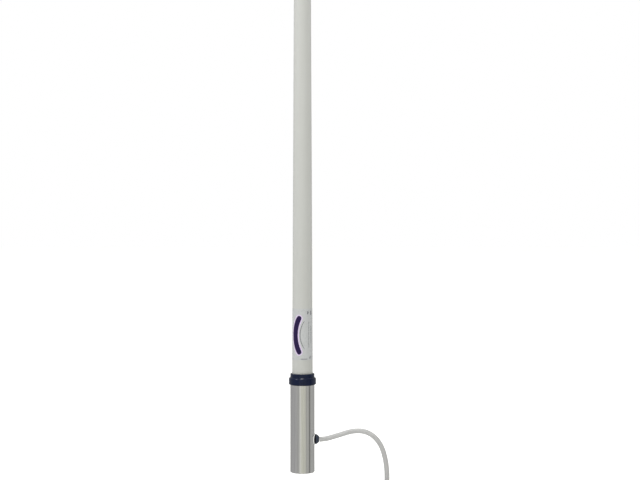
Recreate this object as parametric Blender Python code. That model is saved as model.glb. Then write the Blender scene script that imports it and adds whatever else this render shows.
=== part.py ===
"""Fibreglass whip antenna on a threaded base ferrule, with its inner parts, lead and plug.

Metres, +Z up.  The origin is the middle of the ferrule's foot, where the base screws onto
its mount.  The lead leaves the ferrule at +X, arches over, and its spare length lies in a
tied coil on the surface below the mount.
"""
import math

import bmesh
import bpy
from mathutils import Vector
from mathutils.geometry import interpolate_bezier

GAP = 0.0003                     # clearance between neighbouring solids

# Whip: its diameter falls from the collar to the tip along a gentle parabola
TOTAL_HEIGHT = 2.400
WHIP_BASE_DIAMETER = 0.0255
WHIP_TAPER = 0.009865            # loss of diameter per metre just above the collar
WHIP_EASING = 0.00106            # how fast that loss fades, per metre squared
WHIP_WALL_BASE = 0.0024
WHIP_WALL_TIP = 0.0015
WHIP_BUTT_FOOT = 0.062
WHIP_BUTT_RADIUS = 0.0135
SPIGOT_RADIUS = 0.0037

# Ferrule and its threaded socket
FERRULE_RADIUS = 0.015
FERRULE_BORE_RADIUS = 0.0138
FERRULE_LENGTH = 0.1080
FOOT_LIP_RADIUS = 0.01285
FOOT_LIP_HEIGHT = 0.0015
FOOT_ROUNDING = 0.0012
SOCKET_RADIUS = 0.0119
SOCKET_MOUTH_RADIUS = 0.0128
SOCKET_TOP = 0.0278
SEAL_DISC_THICKNESS = 0.0025

# Collar over the joint of ferrule and whip
COLLAR_RADIUS = 0.0168
COLLAR_BAND_RADIUS = 0.0149
COLLAR_BORE_RADIUS = 0.0131
COLLAR_BULGE_HEIGHT = 0.0088
COLLAR_SHOULDER = 0.0022         # rounding of the bulge's upper edge
COLLAR_CHAMFER = 0.0005
COLLAR_FOOT = FERRULE_LENGTH + GAP
COLLAR_TOP = 0.1217
SEAL_RING_RADIUS = 0.01385
SEAL_RING_SECTION = 0.00075
SEAL_RING_HEIGHT = 0.1125

# Tip cap
CAP_HEAD_RADIUS = 0.0057
CAP_SLEEVE_RADIUS = 0.00475
CAP_BORE_RADIUS = 0.0040
CAP_FOOT = 2.3734
CAP_SHOULDER = 2.3850
CAP_HEAD_FOOT = 2.3885
CAP_DOME_HEIGHT = 0.0050

# Label
LABEL_FOOT = 0.139
LABEL_TOP = 0.202
LABEL_THICKNESS = 0.0002

# Lead and its gland
LEAD_RADIUS = 0.00305
GLAND_HEIGHT = 0.0405
GLAND_RADIUS = 0.0063
GLAND_TIP = 0.0208
GLAND_DOME_FOOT = 0.0157
GLAND_DOME_REACH = 0.0054
GLAND_SKIRT_FOOT = 0.0125
GLAND_WASHER_RADIUS = 0.0072
GLAND_WASHER_THICKNESS = 0.0004
GLAND_NECK_RADIUS = 0.0043
GLAND_NECK_END = 0.0085
GLAND_NUT_FLATS = 0.0108
GLAND_NUT_FOOT = 0.0090
GLAND_NUT_TOP = 0.0116
GLAND_CUTTER_REACH = 0.02        # half height of the upright bars that hollow the gland
SLIDE_RADIUS = 0.00335           # bore of every piece that the lead passes through
GLAND_HOLE_RADIUS = 0.00475

# Feed point and radiators, by height
BASE_GROMMET_FOOT = 0.066
BASE_GROMMET_TOP = 0.074
SLEEVE_RADIUS = 0.00715
SLEEVE_BORE_RADIUS = 0.0064
SLEEVE_FOOT = 0.130
SLEEVE_TOP = 0.588
SLEEVE_DISC_THICKNESS = 0.002
SLEEVE_SPACER_LENGTH = 0.006
LOWER_SPACER_FOOT = 0.140
UPPER_SPACER_FOOT = 0.560
BRAID_FERRULE_WALL = 0.0009
BRAID_FERRULE_TOP = 0.5966
FEED_CABLE_TOP = 0.597
INSULATOR_FOOT = 0.598
INSULATOR_TOP = 0.615
CORE_RADIUS = 0.00185
CORE_TOP = 0.606
TERMINAL_REACH = 0.008           # how far the centre terminal stands into the lower radiator
LOWER_RADIATOR_RADIUS = 0.0032
LOWER_RADIATOR_BORE = 0.0023
LOWER_RADIATOR_TOP = 1.060
UPPER_RADIATOR_RADIUS = 0.0022
UPPER_RADIATOR_BORE = 0.0015
UPPER_RADIATOR_FOOT = 1.140
UPPER_RADIATOR_TOP = 2.060
END_INSULATOR_RADIUS = 0.0031
END_INSULATOR_LENGTH = 0.015
DISC_THICKNESS = 0.008
LOWER_DISC_HEIGHTS = (0.74, 0.93)
UPPER_DISC_HEIGHTS = (1.30, 1.60, 1.90)

# Phasing section
FORMER_RADIUS = 0.0040
PHASING_RADIUS = 0.0050
PHASING_WIRE_RADIUS = 0.0006
PHASING_TURNS = 9
PHASING_MARGIN = 0.010           # bare length of the former beyond the winding's ends

# Spare length of the lead, coiled on the surface below the mount
SURFACE = -0.075
TIE_THICKNESS = 0.0008
TIE_WIDTH = 0.008
TIE_ANGLE = math.radians(150)
COIL_CENTRE = (0.060, 0.052)
COIL_LAYERS = 6
COIL_TURNS_PER_LAYER = 3.125
COIL_MEAN_RADIUS = 0.0354
COIL_FOOT = SURFACE + TIE_THICKNESS + GAP

# The lead's route in the air, from the gland over to where it lands on the coil
RUN_ROUTE = [
    (GLAND_TIP + GAP, 0.0, 0.0401), (0.0300, 0.0, 0.0411), (0.0390, 0.0, 0.0436),
    (0.0480, 0.0, 0.0463), (0.0565, 0.0, 0.0489), (0.0655, 0.0, 0.0505),
    (0.0750, 0.0, 0.0500), (0.0840, 0.0, 0.0466), (0.0920, 0.0003, 0.0398),
    (0.0980, 0.0010, 0.0300), (0.1020, 0.0025, 0.0175), (0.1042, 0.0052, 0.0040),
    (0.1050, 0.0100, -0.0095), (0.1050, 0.0175, -0.0220), (0.1050, 0.0265, -0.0318),
]

# Plug, lying beside the coil with its axis along +Y
PLUG_REAR = (0.1200, 0.0745, SURFACE + 0.009)
PLUG_RING_RADIUS = 0.0090
PLUG_RING_BORE = 0.00755
PLUG_RING_LIP = 0.0063
PLUG_RING_START = 0.0135
PLUG_RING_END = 0.0360
PLUG_BARREL_RADIUS = 0.0059
PLUG_FLANGE_RADIUS = 0.0072
PLUG_FLANGE_START = 0.0170
PLUG_FACE = 0.0240
PLUG_RECESS_RADIUS = 0.0055
PLUG_RECESS_START = 0.0200
PLUG_PIN_RADIUS = 0.0020
PLUG_PIN_START = 0.0103
PLUG_PIN_END = 0.0365
BOOT_LENGTH = 0.022

# The lead's route from the coil round to the plug
TAIL_ROUTE = [
    (0.0930, 0.0120, -0.0706), (0.1020, 0.0168, -0.0701), (0.1097, 0.0236, -0.0692),
    (0.1153, 0.0320, -0.0680), (0.1187, 0.0415, -0.0668), (0.1200, 0.0510, -0.0660),
    (0.1200, 0.0620, -0.0660), (0.1200, PLUG_REAR[1] + 0.0100, -0.0660),
]

# Finishes: colour, roughness, metallic
STAINLESS = ((0.60, 0.60, 0.57), 0.25, 1.0)
BRASS = ((0.72, 0.52, 0.22), 0.30, 1.0)
COPPER = ((0.75, 0.38, 0.22), 0.28, 1.0)
NICKEL = ((0.70, 0.69, 0.65), 0.22, 1.0)
NAVY = ((0.015, 0.022, 0.060), 0.35, 0.0)
CAP_BLUE = ((0.025, 0.080, 0.230), 0.30, 0.0)
FIBREGLASS = ((0.60, 0.60, 0.56), 0.38, 0.0)
CLEAR_FILM = ((0.66, 0.66, 0.64), 0.25, 0.0)
LEAD_GREY = ((0.62, 0.62, 0.60), 0.45, 0.0)
BLACK_RUBBER = ((0.02, 0.02, 0.02), 0.70, 0.0)
WHITE_PLASTIC = ((0.80, 0.79, 0.74), 0.45, 0.0)
PALE_FOAM = ((0.72, 0.70, 0.60), 0.85, 0.0)
BROWN_RESIN = ((0.22, 0.12, 0.05), 0.50, 0.0)


def clear_scene():
    for item in list(bpy.data.objects):
        bpy.data.objects.remove(item, do_unlink=True)


def paint(piece, finish):
    """Give a piece its own material."""
    colour, roughness, metallic = finish
    material = bpy.data.materials.new(piece.name)
    material.use_nodes = True
    shader = material.node_tree.nodes["Principled BSDF"]
    shader.inputs["Base Color"].default_value = (*colour, 1.0)
    shader.inputs["Roughness"].default_value = roughness
    shader.inputs["Metallic"].default_value = metallic
    piece.data.materials.append(material)


def add_piece(name, build, finish):
    """Turn a bmesh into a smooth-shaded object with its material."""
    bmesh.ops.recalc_face_normals(build, faces=build.faces)
    mesh = bpy.data.meshes.new(name)
    build.to_mesh(mesh)
    build.free()
    mesh.shade_smooth()
    mesh.set_sharp_from_angle(angle=math.radians(35))
    piece = bpy.data.objects.new(name, mesh)
    bpy.context.collection.objects.link(piece)
    paint(piece, finish)
    return piece


def arc(centre, radius, start, stop, steps):
    """Points of an arc in the (radius, height) plane, angles in degrees."""
    points = []
    for step in range(steps + 1):
        angle = math.radians(start + (stop - start) * step / steps)
        points.append((centre[0] + radius * math.cos(angle), centre[1] + radius * math.sin(angle)))
    return points


def turned(name, outline, finish, sides=24):
    """Spin an outline of (radius, height) points about the Z axis into one solid.

    An outline that starts and ends on the axis makes a solid with no bore.
    """
    build = bmesh.new()
    rim = [build.verts.new((radius, 0.0, height)) for radius, height in outline]
    pairs = list(zip(rim, rim[1:]))
    if outline[0][0] > 0.0:
        pairs.append((rim[-1], rim[0]))
    edges = [build.edges.new(pair) for pair in pairs]
    bmesh.ops.spin(build, geom=rim + edges, axis=(0, 0, 1), cent=(0, 0, 0),
                   steps=sides, angle=math.tau, use_merge=True)
    bmesh.ops.remove_doubles(build, verts=build.verts, dist=1e-6)
    return add_piece(name, build, finish)


def ring(name, bore, radius, foot, top, finish, sides=24):
    """A plain tube or washer between two heights."""
    return turned(name, [(bore, foot), (radius, foot), (radius, top), (bore, top)], finish, sides)


def hex_nut(name, bore, half_flats, foot, top, finish):
    """A hexagonal nut with a round bore."""
    nut = ring(name, bore, half_flats, foot, top, finish, 24)
    for corner in nut.data.vertices:
        flat_angle = math.atan2(corner.co.y, corner.co.x) % (math.pi / 3) - math.pi / 6
        if math.hypot(corner.co.x, corner.co.y) > (bore + half_flats) / 2:
            corner.co.x /= math.cos(flat_angle)
            corner.co.y /= math.cos(flat_angle)
    return nut


def rod(name, radius, foot, top, finish, sides=16):
    """A plain round bar between two heights."""
    return turned(name, [(0.0, foot), (radius, foot), (radius, top), (0.0, top)], finish, sides)


def along_x(piece, height):
    """Lay a turned piece along +X at a height on the whip's axis."""
    piece.rotation_euler = (0.0, math.pi / 2, 0.0)
    piece.location = (0.0, 0.0, height)


def along_plug(piece):
    """Lay a turned piece along the plug's axis, measured from the plug's rear."""
    piece.rotation_euler = (-math.pi / 2, 0.0, 0.0)
    piece.location = PLUG_REAR


def as_cutter(piece):
    piece.hide_render = True
    piece.display_type = "WIRE"


def cut(piece, cutter):
    step = piece.modifiers.new("cut " + cutter.name, "BOOLEAN")
    step.operation = "DIFFERENCE"
    step.object = cutter
    as_cutter(cutter)


def smooth_route(points, steps):
    """Sample a smooth curve through hand-placed points."""
    spots = [Vector(point) for point in points]
    padded = [2 * spots[0] - spots[1]] + spots + [2 * spots[-1] - spots[-2]]
    samples = []
    for before, start, stop, after in zip(padded, padded[1:], padded[2:], padded[3:]):
        start_handle = start + (stop - before) / 6
        stop_handle = stop - (after - start) / 6
        samples += interpolate_bezier(start, start_handle, stop_handle, stop, steps + 1)[:-1]
    return samples + [spots[-1]]


def cord_tube(name, points, radius, finish, roundness=3):
    """A round tube along a list of points, with closed ends."""
    curve = bpy.data.curves.new(name, "CURVE")
    curve.dimensions = "3D"
    curve.bevel_depth = radius
    curve.bevel_resolution = roundness
    curve.use_fill_caps = True
    spline = curve.splines.new("POLY")
    spline.points.add(len(points) - 1)
    for spot, point in zip(spline.points, points):
        spot.co = (*point, 1.0)
    spline.use_smooth = True
    piece = bpy.data.objects.new(name, curve)
    bpy.context.collection.objects.link(piece)
    paint(piece, finish)
    return piece


def whip_radius(height):
    rise = height - COLLAR_TOP
    return (WHIP_BASE_DIAMETER - WHIP_TAPER * rise + WHIP_EASING * rise * rise) / 2


def whip_bore(height):
    """Inner radius of the whip: the wall thins evenly from base to tip."""
    share = max(height - COLLAR_TOP, 0.0) / (CAP_FOOT - COLLAR_TOP)
    wall = WHIP_WALL_BASE + (WHIP_WALL_TIP - WHIP_WALL_BASE) * share
    return whip_radius(max(height, COLLAR_TOP)) - wall


def make_ferrule():
    outline = [(FOOT_LIP_RADIUS, 0.0)]
    outline += arc((FERRULE_RADIUS - FOOT_ROUNDING, FOOT_ROUNDING), FOOT_ROUNDING, -90, 0, 3)
    outline += [(FERRULE_RADIUS, FERRULE_LENGTH - 0.0004), (FERRULE_RADIUS - 0.0004, FERRULE_LENGTH),
                (FERRULE_BORE_RADIUS, FERRULE_LENGTH), (FERRULE_BORE_RADIUS, FOOT_LIP_HEIGHT),
                (FOOT_LIP_RADIUS, FOOT_LIP_HEIGHT)]
    sleeve = turned("ferrule_sleeve", outline, STAINLESS, 32)
    drill = rod("gland_drill", GLAND_HOLE_RADIUS, FERRULE_BORE_RADIUS - 0.004,
                FERRULE_RADIUS + 0.004, STAINLESS, 20)
    along_x(drill, GLAND_HEIGHT)
    cut(sleeve, drill)


def make_socket():
    foot = FOOT_LIP_HEIGHT + GAP
    outer = FERRULE_BORE_RADIUS - GAP
    outline = [(SOCKET_MOUTH_RADIUS, foot), (outer, foot), (outer, SOCKET_TOP),
               (SOCKET_RADIUS, SOCKET_TOP), (SOCKET_RADIUS, foot + 0.0012)]
    turned("threaded_insert", outline, BRASS, 32)
    disc_foot = SOCKET_TOP + GAP
    rod("seal_disc", outer, disc_foot, disc_foot + SEAL_DISC_THICKNESS, WHITE_PLASTIC, 24)


def make_collar():
    bulge_top = COLLAR_FOOT + COLLAR_BULGE_HEIGHT
    groove_half = SEAL_RING_SECTION + GAP
    groove_depth = SEAL_RING_RADIUS + SEAL_RING_SECTION + GAP
    outline = [(COLLAR_BORE_RADIUS, COLLAR_FOOT), (COLLAR_RADIUS - COLLAR_CHAMFER, COLLAR_FOOT),
               (COLLAR_RADIUS, COLLAR_FOOT + COLLAR_CHAMFER)]
    outline += arc((COLLAR_RADIUS - COLLAR_SHOULDER, bulge_top - COLLAR_SHOULDER), COLLAR_SHOULDER, 0, 75, 4)
    outline += [(COLLAR_BAND_RADIUS, bulge_top + GAP), (COLLAR_BAND_RADIUS, COLLAR_TOP - COLLAR_CHAMFER),
                (COLLAR_BAND_RADIUS - COLLAR_CHAMFER, COLLAR_TOP), (COLLAR_BORE_RADIUS, COLLAR_TOP),
                (COLLAR_BORE_RADIUS, SEAL_RING_HEIGHT + groove_half),
                (groove_depth, SEAL_RING_HEIGHT + groove_half),
                (groove_depth, SEAL_RING_HEIGHT - groove_half),
                (COLLAR_BORE_RADIUS, SEAL_RING_HEIGHT - groove_half)]
    turned("collar", outline, NAVY, 32)
    section = arc((SEAL_RING_RADIUS, SEAL_RING_HEIGHT), SEAL_RING_SECTION, 0, 315, 7)
    turned("collar_seal", section, BLACK_RUBBER, 24)


def make_whip():
    shoulder = CAP_FOOT - GAP
    spigot_top = CAP_HEAD_FOOT - 0.0005
    butt_top = FERRULE_LENGTH - 0.0005
    rings = 9
    heights = [FERRULE_LENGTH + (shoulder - FERRULE_LENGTH) * step / rings
               for step in range(rings + 1)]
    outline = [(WHIP_BUTT_RADIUS, WHIP_BUTT_FOOT), (WHIP_BUTT_RADIUS, butt_top)]
    outline += [(whip_radius(height), height) for height in heights]
    outline += [(SPIGOT_RADIUS, shoulder), (SPIGOT_RADIUS, spigot_top),
                (whip_bore(shoulder), spigot_top)]
    outline += [(whip_bore(height), height) for height in reversed(heights)]
    outline += [(whip_bore(WHIP_BUTT_FOOT), WHIP_BUTT_FOOT)]
    turned("whip_tube", outline, FIBREGLASS, 24)


def make_tip_cap():
    dome_foot = TOTAL_HEIGHT - CAP_DOME_HEIGHT
    outline = [(CAP_BORE_RADIUS, CAP_FOOT), (CAP_SLEEVE_RADIUS, CAP_FOOT),
               (CAP_SLEEVE_RADIUS, CAP_SHOULDER), (CAP_HEAD_RADIUS, CAP_HEAD_FOOT),
               (CAP_HEAD_RADIUS, dome_foot)]
    for angle in (25, 50, 72):
        turn = math.radians(angle)
        outline.append((CAP_HEAD_RADIUS * math.cos(turn), dome_foot + CAP_DOME_HEIGHT * math.sin(turn)))
    outline.append((0.0, TOTAL_HEIGHT))
    roof = CAP_HEAD_FOOT + 0.0005
    turned("tip_cap", [(0.0, roof), (CAP_BORE_RADIUS, roof)] + outline, CAP_BLUE, 24)


def make_label():
    inner = [(whip_radius(height) + GAP, height) for height in (LABEL_FOOT, LABEL_TOP)]
    outer = [(radius + LABEL_THICKNESS, height) for radius, height in reversed(inner)]
    turned("whip_label", inner + outer, CLEAR_FILM, 24)


def make_gland():
    """Dome and washer, both hollowed on one side to sit on the round ferrule."""
    washer_inside = FERRULE_RADIUS + GAP
    washer_outside = washer_inside + GLAND_WASHER_THICKNESS
    low = GLAND_HEIGHT - GLAND_CUTTER_REACH
    high = GLAND_HEIGHT + GLAND_CUTTER_REACH
    washer = ring("gland_washer", GLAND_NECK_RADIUS + GAP, GLAND_WASHER_RADIUS, GLAND_SKIRT_FOOT,
                  FERRULE_RADIUS + GLAND_WASHER_RADIUS, WHITE_PLASTIC, 24)
    along_x(washer, GLAND_HEIGHT)
    cut(washer, rod("washer_saddle", washer_inside, low, high, WHITE_PLASTIC, 64))
    cut(washer, ring("washer_trimmer", washer_outside, 2 * washer_outside, low, high,
                     WHITE_PLASTIC, 64))

    outline = [(SLIDE_RADIUS, GLAND_NECK_END), (GLAND_NECK_RADIUS, GLAND_NECK_END),
               (GLAND_NECK_RADIUS, GLAND_SKIRT_FOOT), (GLAND_RADIUS, GLAND_SKIRT_FOOT)]
    for angle in (0, 16, 32, 43, 52):
        turn = math.radians(angle)
        outline.append((GLAND_RADIUS * math.cos(turn), GLAND_DOME_FOOT + GLAND_DOME_REACH * math.sin(turn)))
    outline += [(SLIDE_RADIUS + 0.0004, GLAND_TIP), (SLIDE_RADIUS, GLAND_TIP)]
    bushing = turned("gland_bushing", outline, NAVY, 24)
    along_x(bushing, GLAND_HEIGHT)
    saddle = rod("dome_saddle", washer_outside + GAP, low, high, NAVY, 64)
    neck_room = rod("dome_neck_room", GLAND_NECK_RADIUS + GAP / 2, 0.0, 2 * FERRULE_RADIUS, NAVY, 24)
    along_x(neck_room, GLAND_HEIGHT)
    cut(saddle, neck_room)
    cut(bushing, saddle)

    along_x(hex_nut("gland_nut", GLAND_NECK_RADIUS + GAP, GLAND_NUT_FLATS / 2,
                    GLAND_NUT_FOOT, GLAND_NUT_TOP, NICKEL), GLAND_HEIGHT)


def make_feed_cable():
    bend = [(GLAND_TIP - GAP, 0.0, GLAND_HEIGHT), (0.0140, 0.0, GLAND_HEIGHT),
            (0.0080, 0.0, GLAND_HEIGHT), (0.0020, 0.0, 0.0425), (-0.0020, 0.0, 0.0478),
            (-0.0024, 0.0, 0.0550), (0.0, 0.0, 0.0640), (0.0, 0.0, 0.0760)]
    points = smooth_route(bend, 2) + [Vector((0.0, 0.0, FEED_CABLE_TOP))]
    cord_tube("feed_cable", points, LEAD_RADIUS, LEAD_GREY, 2)
    ring("base_grommet", SLIDE_RADIUS, whip_bore(0.0) - GAP, BASE_GROMMET_FOOT, BASE_GROMMET_TOP,
         BLACK_RUBBER, 16)


def make_decoupling_sleeve():
    ring("decoupling_sleeve", SLEEVE_BORE_RADIUS, SLEEVE_RADIUS, SLEEVE_FOOT, SLEEVE_TOP, BRASS, 16)
    spacer_radius = SLEEVE_BORE_RADIUS - GAP
    for name, foot in (("sleeve_spacer_lower", LOWER_SPACER_FOOT), ("sleeve_spacer_upper", UPPER_SPACER_FOOT)):
        ring(name, SLIDE_RADIUS, spacer_radius, foot, foot + SLEEVE_SPACER_LENGTH, WHITE_PLASTIC, 16)
    disc_foot = SLEEVE_TOP + GAP
    disc_top = disc_foot + SLEEVE_DISC_THICKNESS
    ring("sleeve_end_disc", SLIDE_RADIUS, SLEEVE_RADIUS, disc_foot, disc_top, BRASS, 16)
    ring("braid_ferrule", SLIDE_RADIUS, SLIDE_RADIUS + BRAID_FERRULE_WALL, disc_top + GAP,
         BRAID_FERRULE_TOP, COPPER, 16)


def make_feed_point():
    rod("feed_dielectric", CORE_RADIUS, FEED_CABLE_TOP + GAP, CORE_TOP, WHITE_PLASTIC, 12)
    ring("feedpoint_insulator", CORE_RADIUS + GAP, SLEEVE_RADIUS, INSULATOR_FOOT, INSULATOR_TOP,
         WHITE_PLASTIC, 16)
    rod("centre_terminal", LOWER_RADIATOR_BORE - 2 * GAP, CORE_TOP + GAP,
        INSULATOR_TOP + TERMINAL_REACH, BRASS, 12)


def make_radiators():
    ring("lower_radiator", LOWER_RADIATOR_BORE, LOWER_RADIATOR_RADIUS, INSULATOR_TOP + GAP,
         LOWER_RADIATOR_TOP, BRASS, 12)
    rod("coil_former", FORMER_RADIUS, LOWER_RADIATOR_TOP + GAP, UPPER_RADIATOR_FOOT - GAP,
        BROWN_RESIN, 12)
    ring("upper_radiator", UPPER_RADIATOR_BORE, UPPER_RADIATOR_RADIUS, UPPER_RADIATOR_FOOT,
         UPPER_RADIATOR_TOP, BRASS, 12)
    rod("end_insulator", END_INSULATOR_RADIUS, UPPER_RADIATOR_TOP + GAP,
        UPPER_RADIATOR_TOP + END_INSULATOR_LENGTH, WHITE_PLASTIC, 12)


def make_phasing_coil():
    """Wire wound round the former, with both ends inside the former's length."""
    per_turn = 10
    foot = LOWER_RADIATOR_TOP + PHASING_MARGIN
    rise = (UPPER_RADIATOR_FOOT - PHASING_MARGIN - foot) / (PHASING_TURNS * per_turn)
    points = []
    for step in range(PHASING_TURNS * per_turn + 1):
        angle = math.tau * step / per_turn
        points.append((PHASING_RADIUS * math.cos(angle), PHASING_RADIUS * math.sin(angle),
                       foot + rise * step))
    cord_tube("phasing_coil", points, PHASING_WIRE_RADIUS, COPPER, 1)


def make_centring_discs():
    supports = [(height, LOWER_RADIATOR_RADIUS) for height in LOWER_DISC_HEIGHTS]
    supports += [(height, UPPER_RADIATOR_RADIUS) for height in UPPER_DISC_HEIGHTS]
    for number, (foot, radiator) in enumerate(supports, start=1):
        top = foot + DISC_THICKNESS
        ring(f"centring_disc_{number}", radiator + GAP, whip_bore(top) - GAP, foot, top, PALE_FOAM, 16)


def make_coil():
    spread = COIL_TURNS_PER_LAYER * LEAD_RADIUS
    inner = COIL_MEAN_RADIUS - spread - LEAD_RADIUS
    outer = COIL_MEAN_RADIUS + spread + LEAD_RADIUS
    top = COIL_FOOT + COIL_LAYERS * 2 * LEAD_RADIUS
    corner = LEAD_RADIUS
    outline = arc((inner + corner, COIL_FOOT + corner), corner, 180, 270, 2)
    outline += arc((outer - corner, COIL_FOOT + corner), corner, 270, 360, 2)
    outline += arc((outer - corner, top - corner), corner, 0, 90, 2)
    outline += arc((inner + corner, top - corner), corner, 90, 180, 2)
    coil = turned("cable_coil", outline, LEAD_GREY, 36)
    coil.location = (*COIL_CENTRE, 0.0)
    make_tie(inner - 0.0004, outer, top)


def make_tie(inner, outer, top):
    """A strap round the coil's section, its long side across the coil."""
    def strap_outline(margin):
        corner = LEAD_RADIUS + margin
        centre_low = COIL_FOOT + LEAD_RADIUS
        centre_high = top - LEAD_RADIUS
        near = inner + LEAD_RADIUS
        far = outer - LEAD_RADIUS
        points = arc((near, centre_low), corner, 180, 270, 3)
        points += arc((far, centre_low), corner, 270, 360, 3)
        points += arc((far, centre_high), corner, 0, 90, 3)
        points += arc((near, centre_high), corner, 90, 180, 3)
        return points

    build = bmesh.new()
    loops = []
    for margin, side in ((GAP, -0.5), (GAP, 0.5), (GAP + TIE_THICKNESS, 0.5),
                         (GAP + TIE_THICKNESS, -0.5)):
        loops.append([build.verts.new((radius, side * TIE_WIDTH, height))
                      for radius, height in strap_outline(margin)])
    count = len(loops[0])
    for loop, following in zip(loops, loops[1:] + loops[:1]):
        for index in range(count):
            after = (index + 1) % count
            build.faces.new((loop[index], loop[after], following[after], following[index]))
    tie = add_piece("coil_tie", build, BLACK_RUBBER)
    tie.location = (*COIL_CENTRE, 0.0)
    tie.rotation_euler = (0.0, 0.0, TIE_ANGLE)


def make_plug():
    rear = [(SLIDE_RADIUS, 0.0), (PLUG_BARREL_RADIUS - 0.0005, 0.0), (PLUG_BARREL_RADIUS, 0.0005)]
    flange = [(PLUG_BARREL_RADIUS, PLUG_FLANGE_START), (PLUG_FLANGE_RADIUS, PLUG_FLANGE_START),
              (PLUG_FLANGE_RADIUS, PLUG_FACE), (PLUG_RECESS_RADIUS, PLUG_FACE),
              (PLUG_RECESS_RADIUS, PLUG_RECESS_START), (SLIDE_RADIUS, PLUG_RECESS_START)]
    along_plug(turned("plug_body", rear + flange, NICKEL, 24))

    along_plug(ring("plug_insulator", PLUG_PIN_RADIUS + GAP, PLUG_RECESS_RADIUS - GAP,
                    PLUG_RECESS_START + GAP, PLUG_FACE + 0.0005, BROWN_RESIN, 20))

    tip = PLUG_PIN_END - PLUG_PIN_RADIUS
    nose = [(PLUG_PIN_RADIUS, tip + 0.0006), (PLUG_PIN_RADIUS * 0.7, PLUG_PIN_END - 0.0004),
            (0.0, PLUG_PIN_END)]
    along_plug(turned("plug_pin", [(0.0, PLUG_PIN_START), (PLUG_PIN_RADIUS, PLUG_PIN_START)] + nose,
                      NICKEL, 16))

    lip_top = PLUG_FLANGE_START - 2 * GAP
    shell = [(PLUG_RING_LIP, PLUG_RING_START), (PLUG_RING_RADIUS - 0.0008, PLUG_RING_START),
             (PLUG_RING_RADIUS, PLUG_RING_START + 0.0008), (PLUG_RING_RADIUS, PLUG_RING_END - 0.0008),
             (PLUG_RING_RADIUS - 0.0008, PLUG_RING_END), (PLUG_RING_BORE, PLUG_RING_END),
             (PLUG_RING_BORE, lip_top), (PLUG_RING_LIP, lip_top)]
    along_plug(turned("plug_coupling_ring", shell, NICKEL, 28))

    foot = -BOOT_LENGTH
    boot = [(SLIDE_RADIUS, foot), (SLIDE_RADIUS + 0.0006, foot), (PLUG_BARREL_RADIUS - 0.0009, -0.006),
            (PLUG_BARREL_RADIUS - 0.0006, -GAP), (SLIDE_RADIUS, -GAP)]
    along_plug(turned("plug_boot", boot, BLACK_RUBBER, 20))


def main():
    clear_scene()
    make_ferrule()
    make_socket()
    make_collar()
    make_whip()
    make_tip_cap()
    make_label()
    make_gland()
    make_feed_cable()
    make_decoupling_sleeve()
    make_feed_point()
    make_radiators()
    make_phasing_coil()
    make_centring_discs()
    make_coil()
    cord_tube("cable_run", smooth_route(RUN_ROUTE, 2), LEAD_RADIUS, LEAD_GREY)
    cord_tube("cable_tail", smooth_route(TAIL_ROUTE, 2), LEAD_RADIUS, LEAD_GREY)
    make_plug()


main()
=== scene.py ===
"""Looks of the fibreglass whip antenna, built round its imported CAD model.

Metres, +Z up, in the CAD's own frame.  The camera looks along +Y at the lower end of the
antenna: ferrule, collar, label and the lead that leaves the gland at +X.
"""

import math

import bmesh
import bpy
from mathutils import Matrix, Vector
from mathutils.geometry import interpolate_bezier


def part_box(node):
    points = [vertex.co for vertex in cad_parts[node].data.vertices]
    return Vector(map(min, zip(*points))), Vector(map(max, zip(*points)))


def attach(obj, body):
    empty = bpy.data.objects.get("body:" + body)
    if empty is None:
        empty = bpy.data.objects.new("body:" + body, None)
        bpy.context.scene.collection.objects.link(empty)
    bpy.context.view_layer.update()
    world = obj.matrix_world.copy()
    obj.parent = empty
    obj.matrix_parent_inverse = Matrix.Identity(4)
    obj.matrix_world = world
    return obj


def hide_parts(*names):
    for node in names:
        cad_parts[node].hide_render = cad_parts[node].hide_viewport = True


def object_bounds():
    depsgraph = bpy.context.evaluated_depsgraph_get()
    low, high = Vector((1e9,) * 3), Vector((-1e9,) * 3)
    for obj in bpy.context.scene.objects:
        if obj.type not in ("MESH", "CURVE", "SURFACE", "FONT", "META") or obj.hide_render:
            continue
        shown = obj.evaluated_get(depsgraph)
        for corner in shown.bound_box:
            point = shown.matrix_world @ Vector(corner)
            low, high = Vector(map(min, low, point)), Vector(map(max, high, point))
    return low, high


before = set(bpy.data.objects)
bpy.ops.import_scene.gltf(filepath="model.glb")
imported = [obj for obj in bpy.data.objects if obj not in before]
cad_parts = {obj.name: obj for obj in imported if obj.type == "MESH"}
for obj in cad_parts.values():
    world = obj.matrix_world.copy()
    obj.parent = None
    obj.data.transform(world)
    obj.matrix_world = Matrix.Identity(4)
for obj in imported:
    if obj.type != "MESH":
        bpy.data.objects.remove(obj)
CAD_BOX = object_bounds()

ANTENNA = "antenna"
RING_BODY = "coupling_ring"


def upright_part(node):
    """Radius, foot and top of a part about the whip's axis."""
    low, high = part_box(node)
    return high.x, low.z, high.z


def plug_part(node):
    """Radius of a part of the plug, and its two ends measured from the plug's rear."""
    low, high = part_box(node)
    return (high.x - low.x) / 2, low.y - PLUG_REAR, high.y - PLUG_REAR


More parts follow.
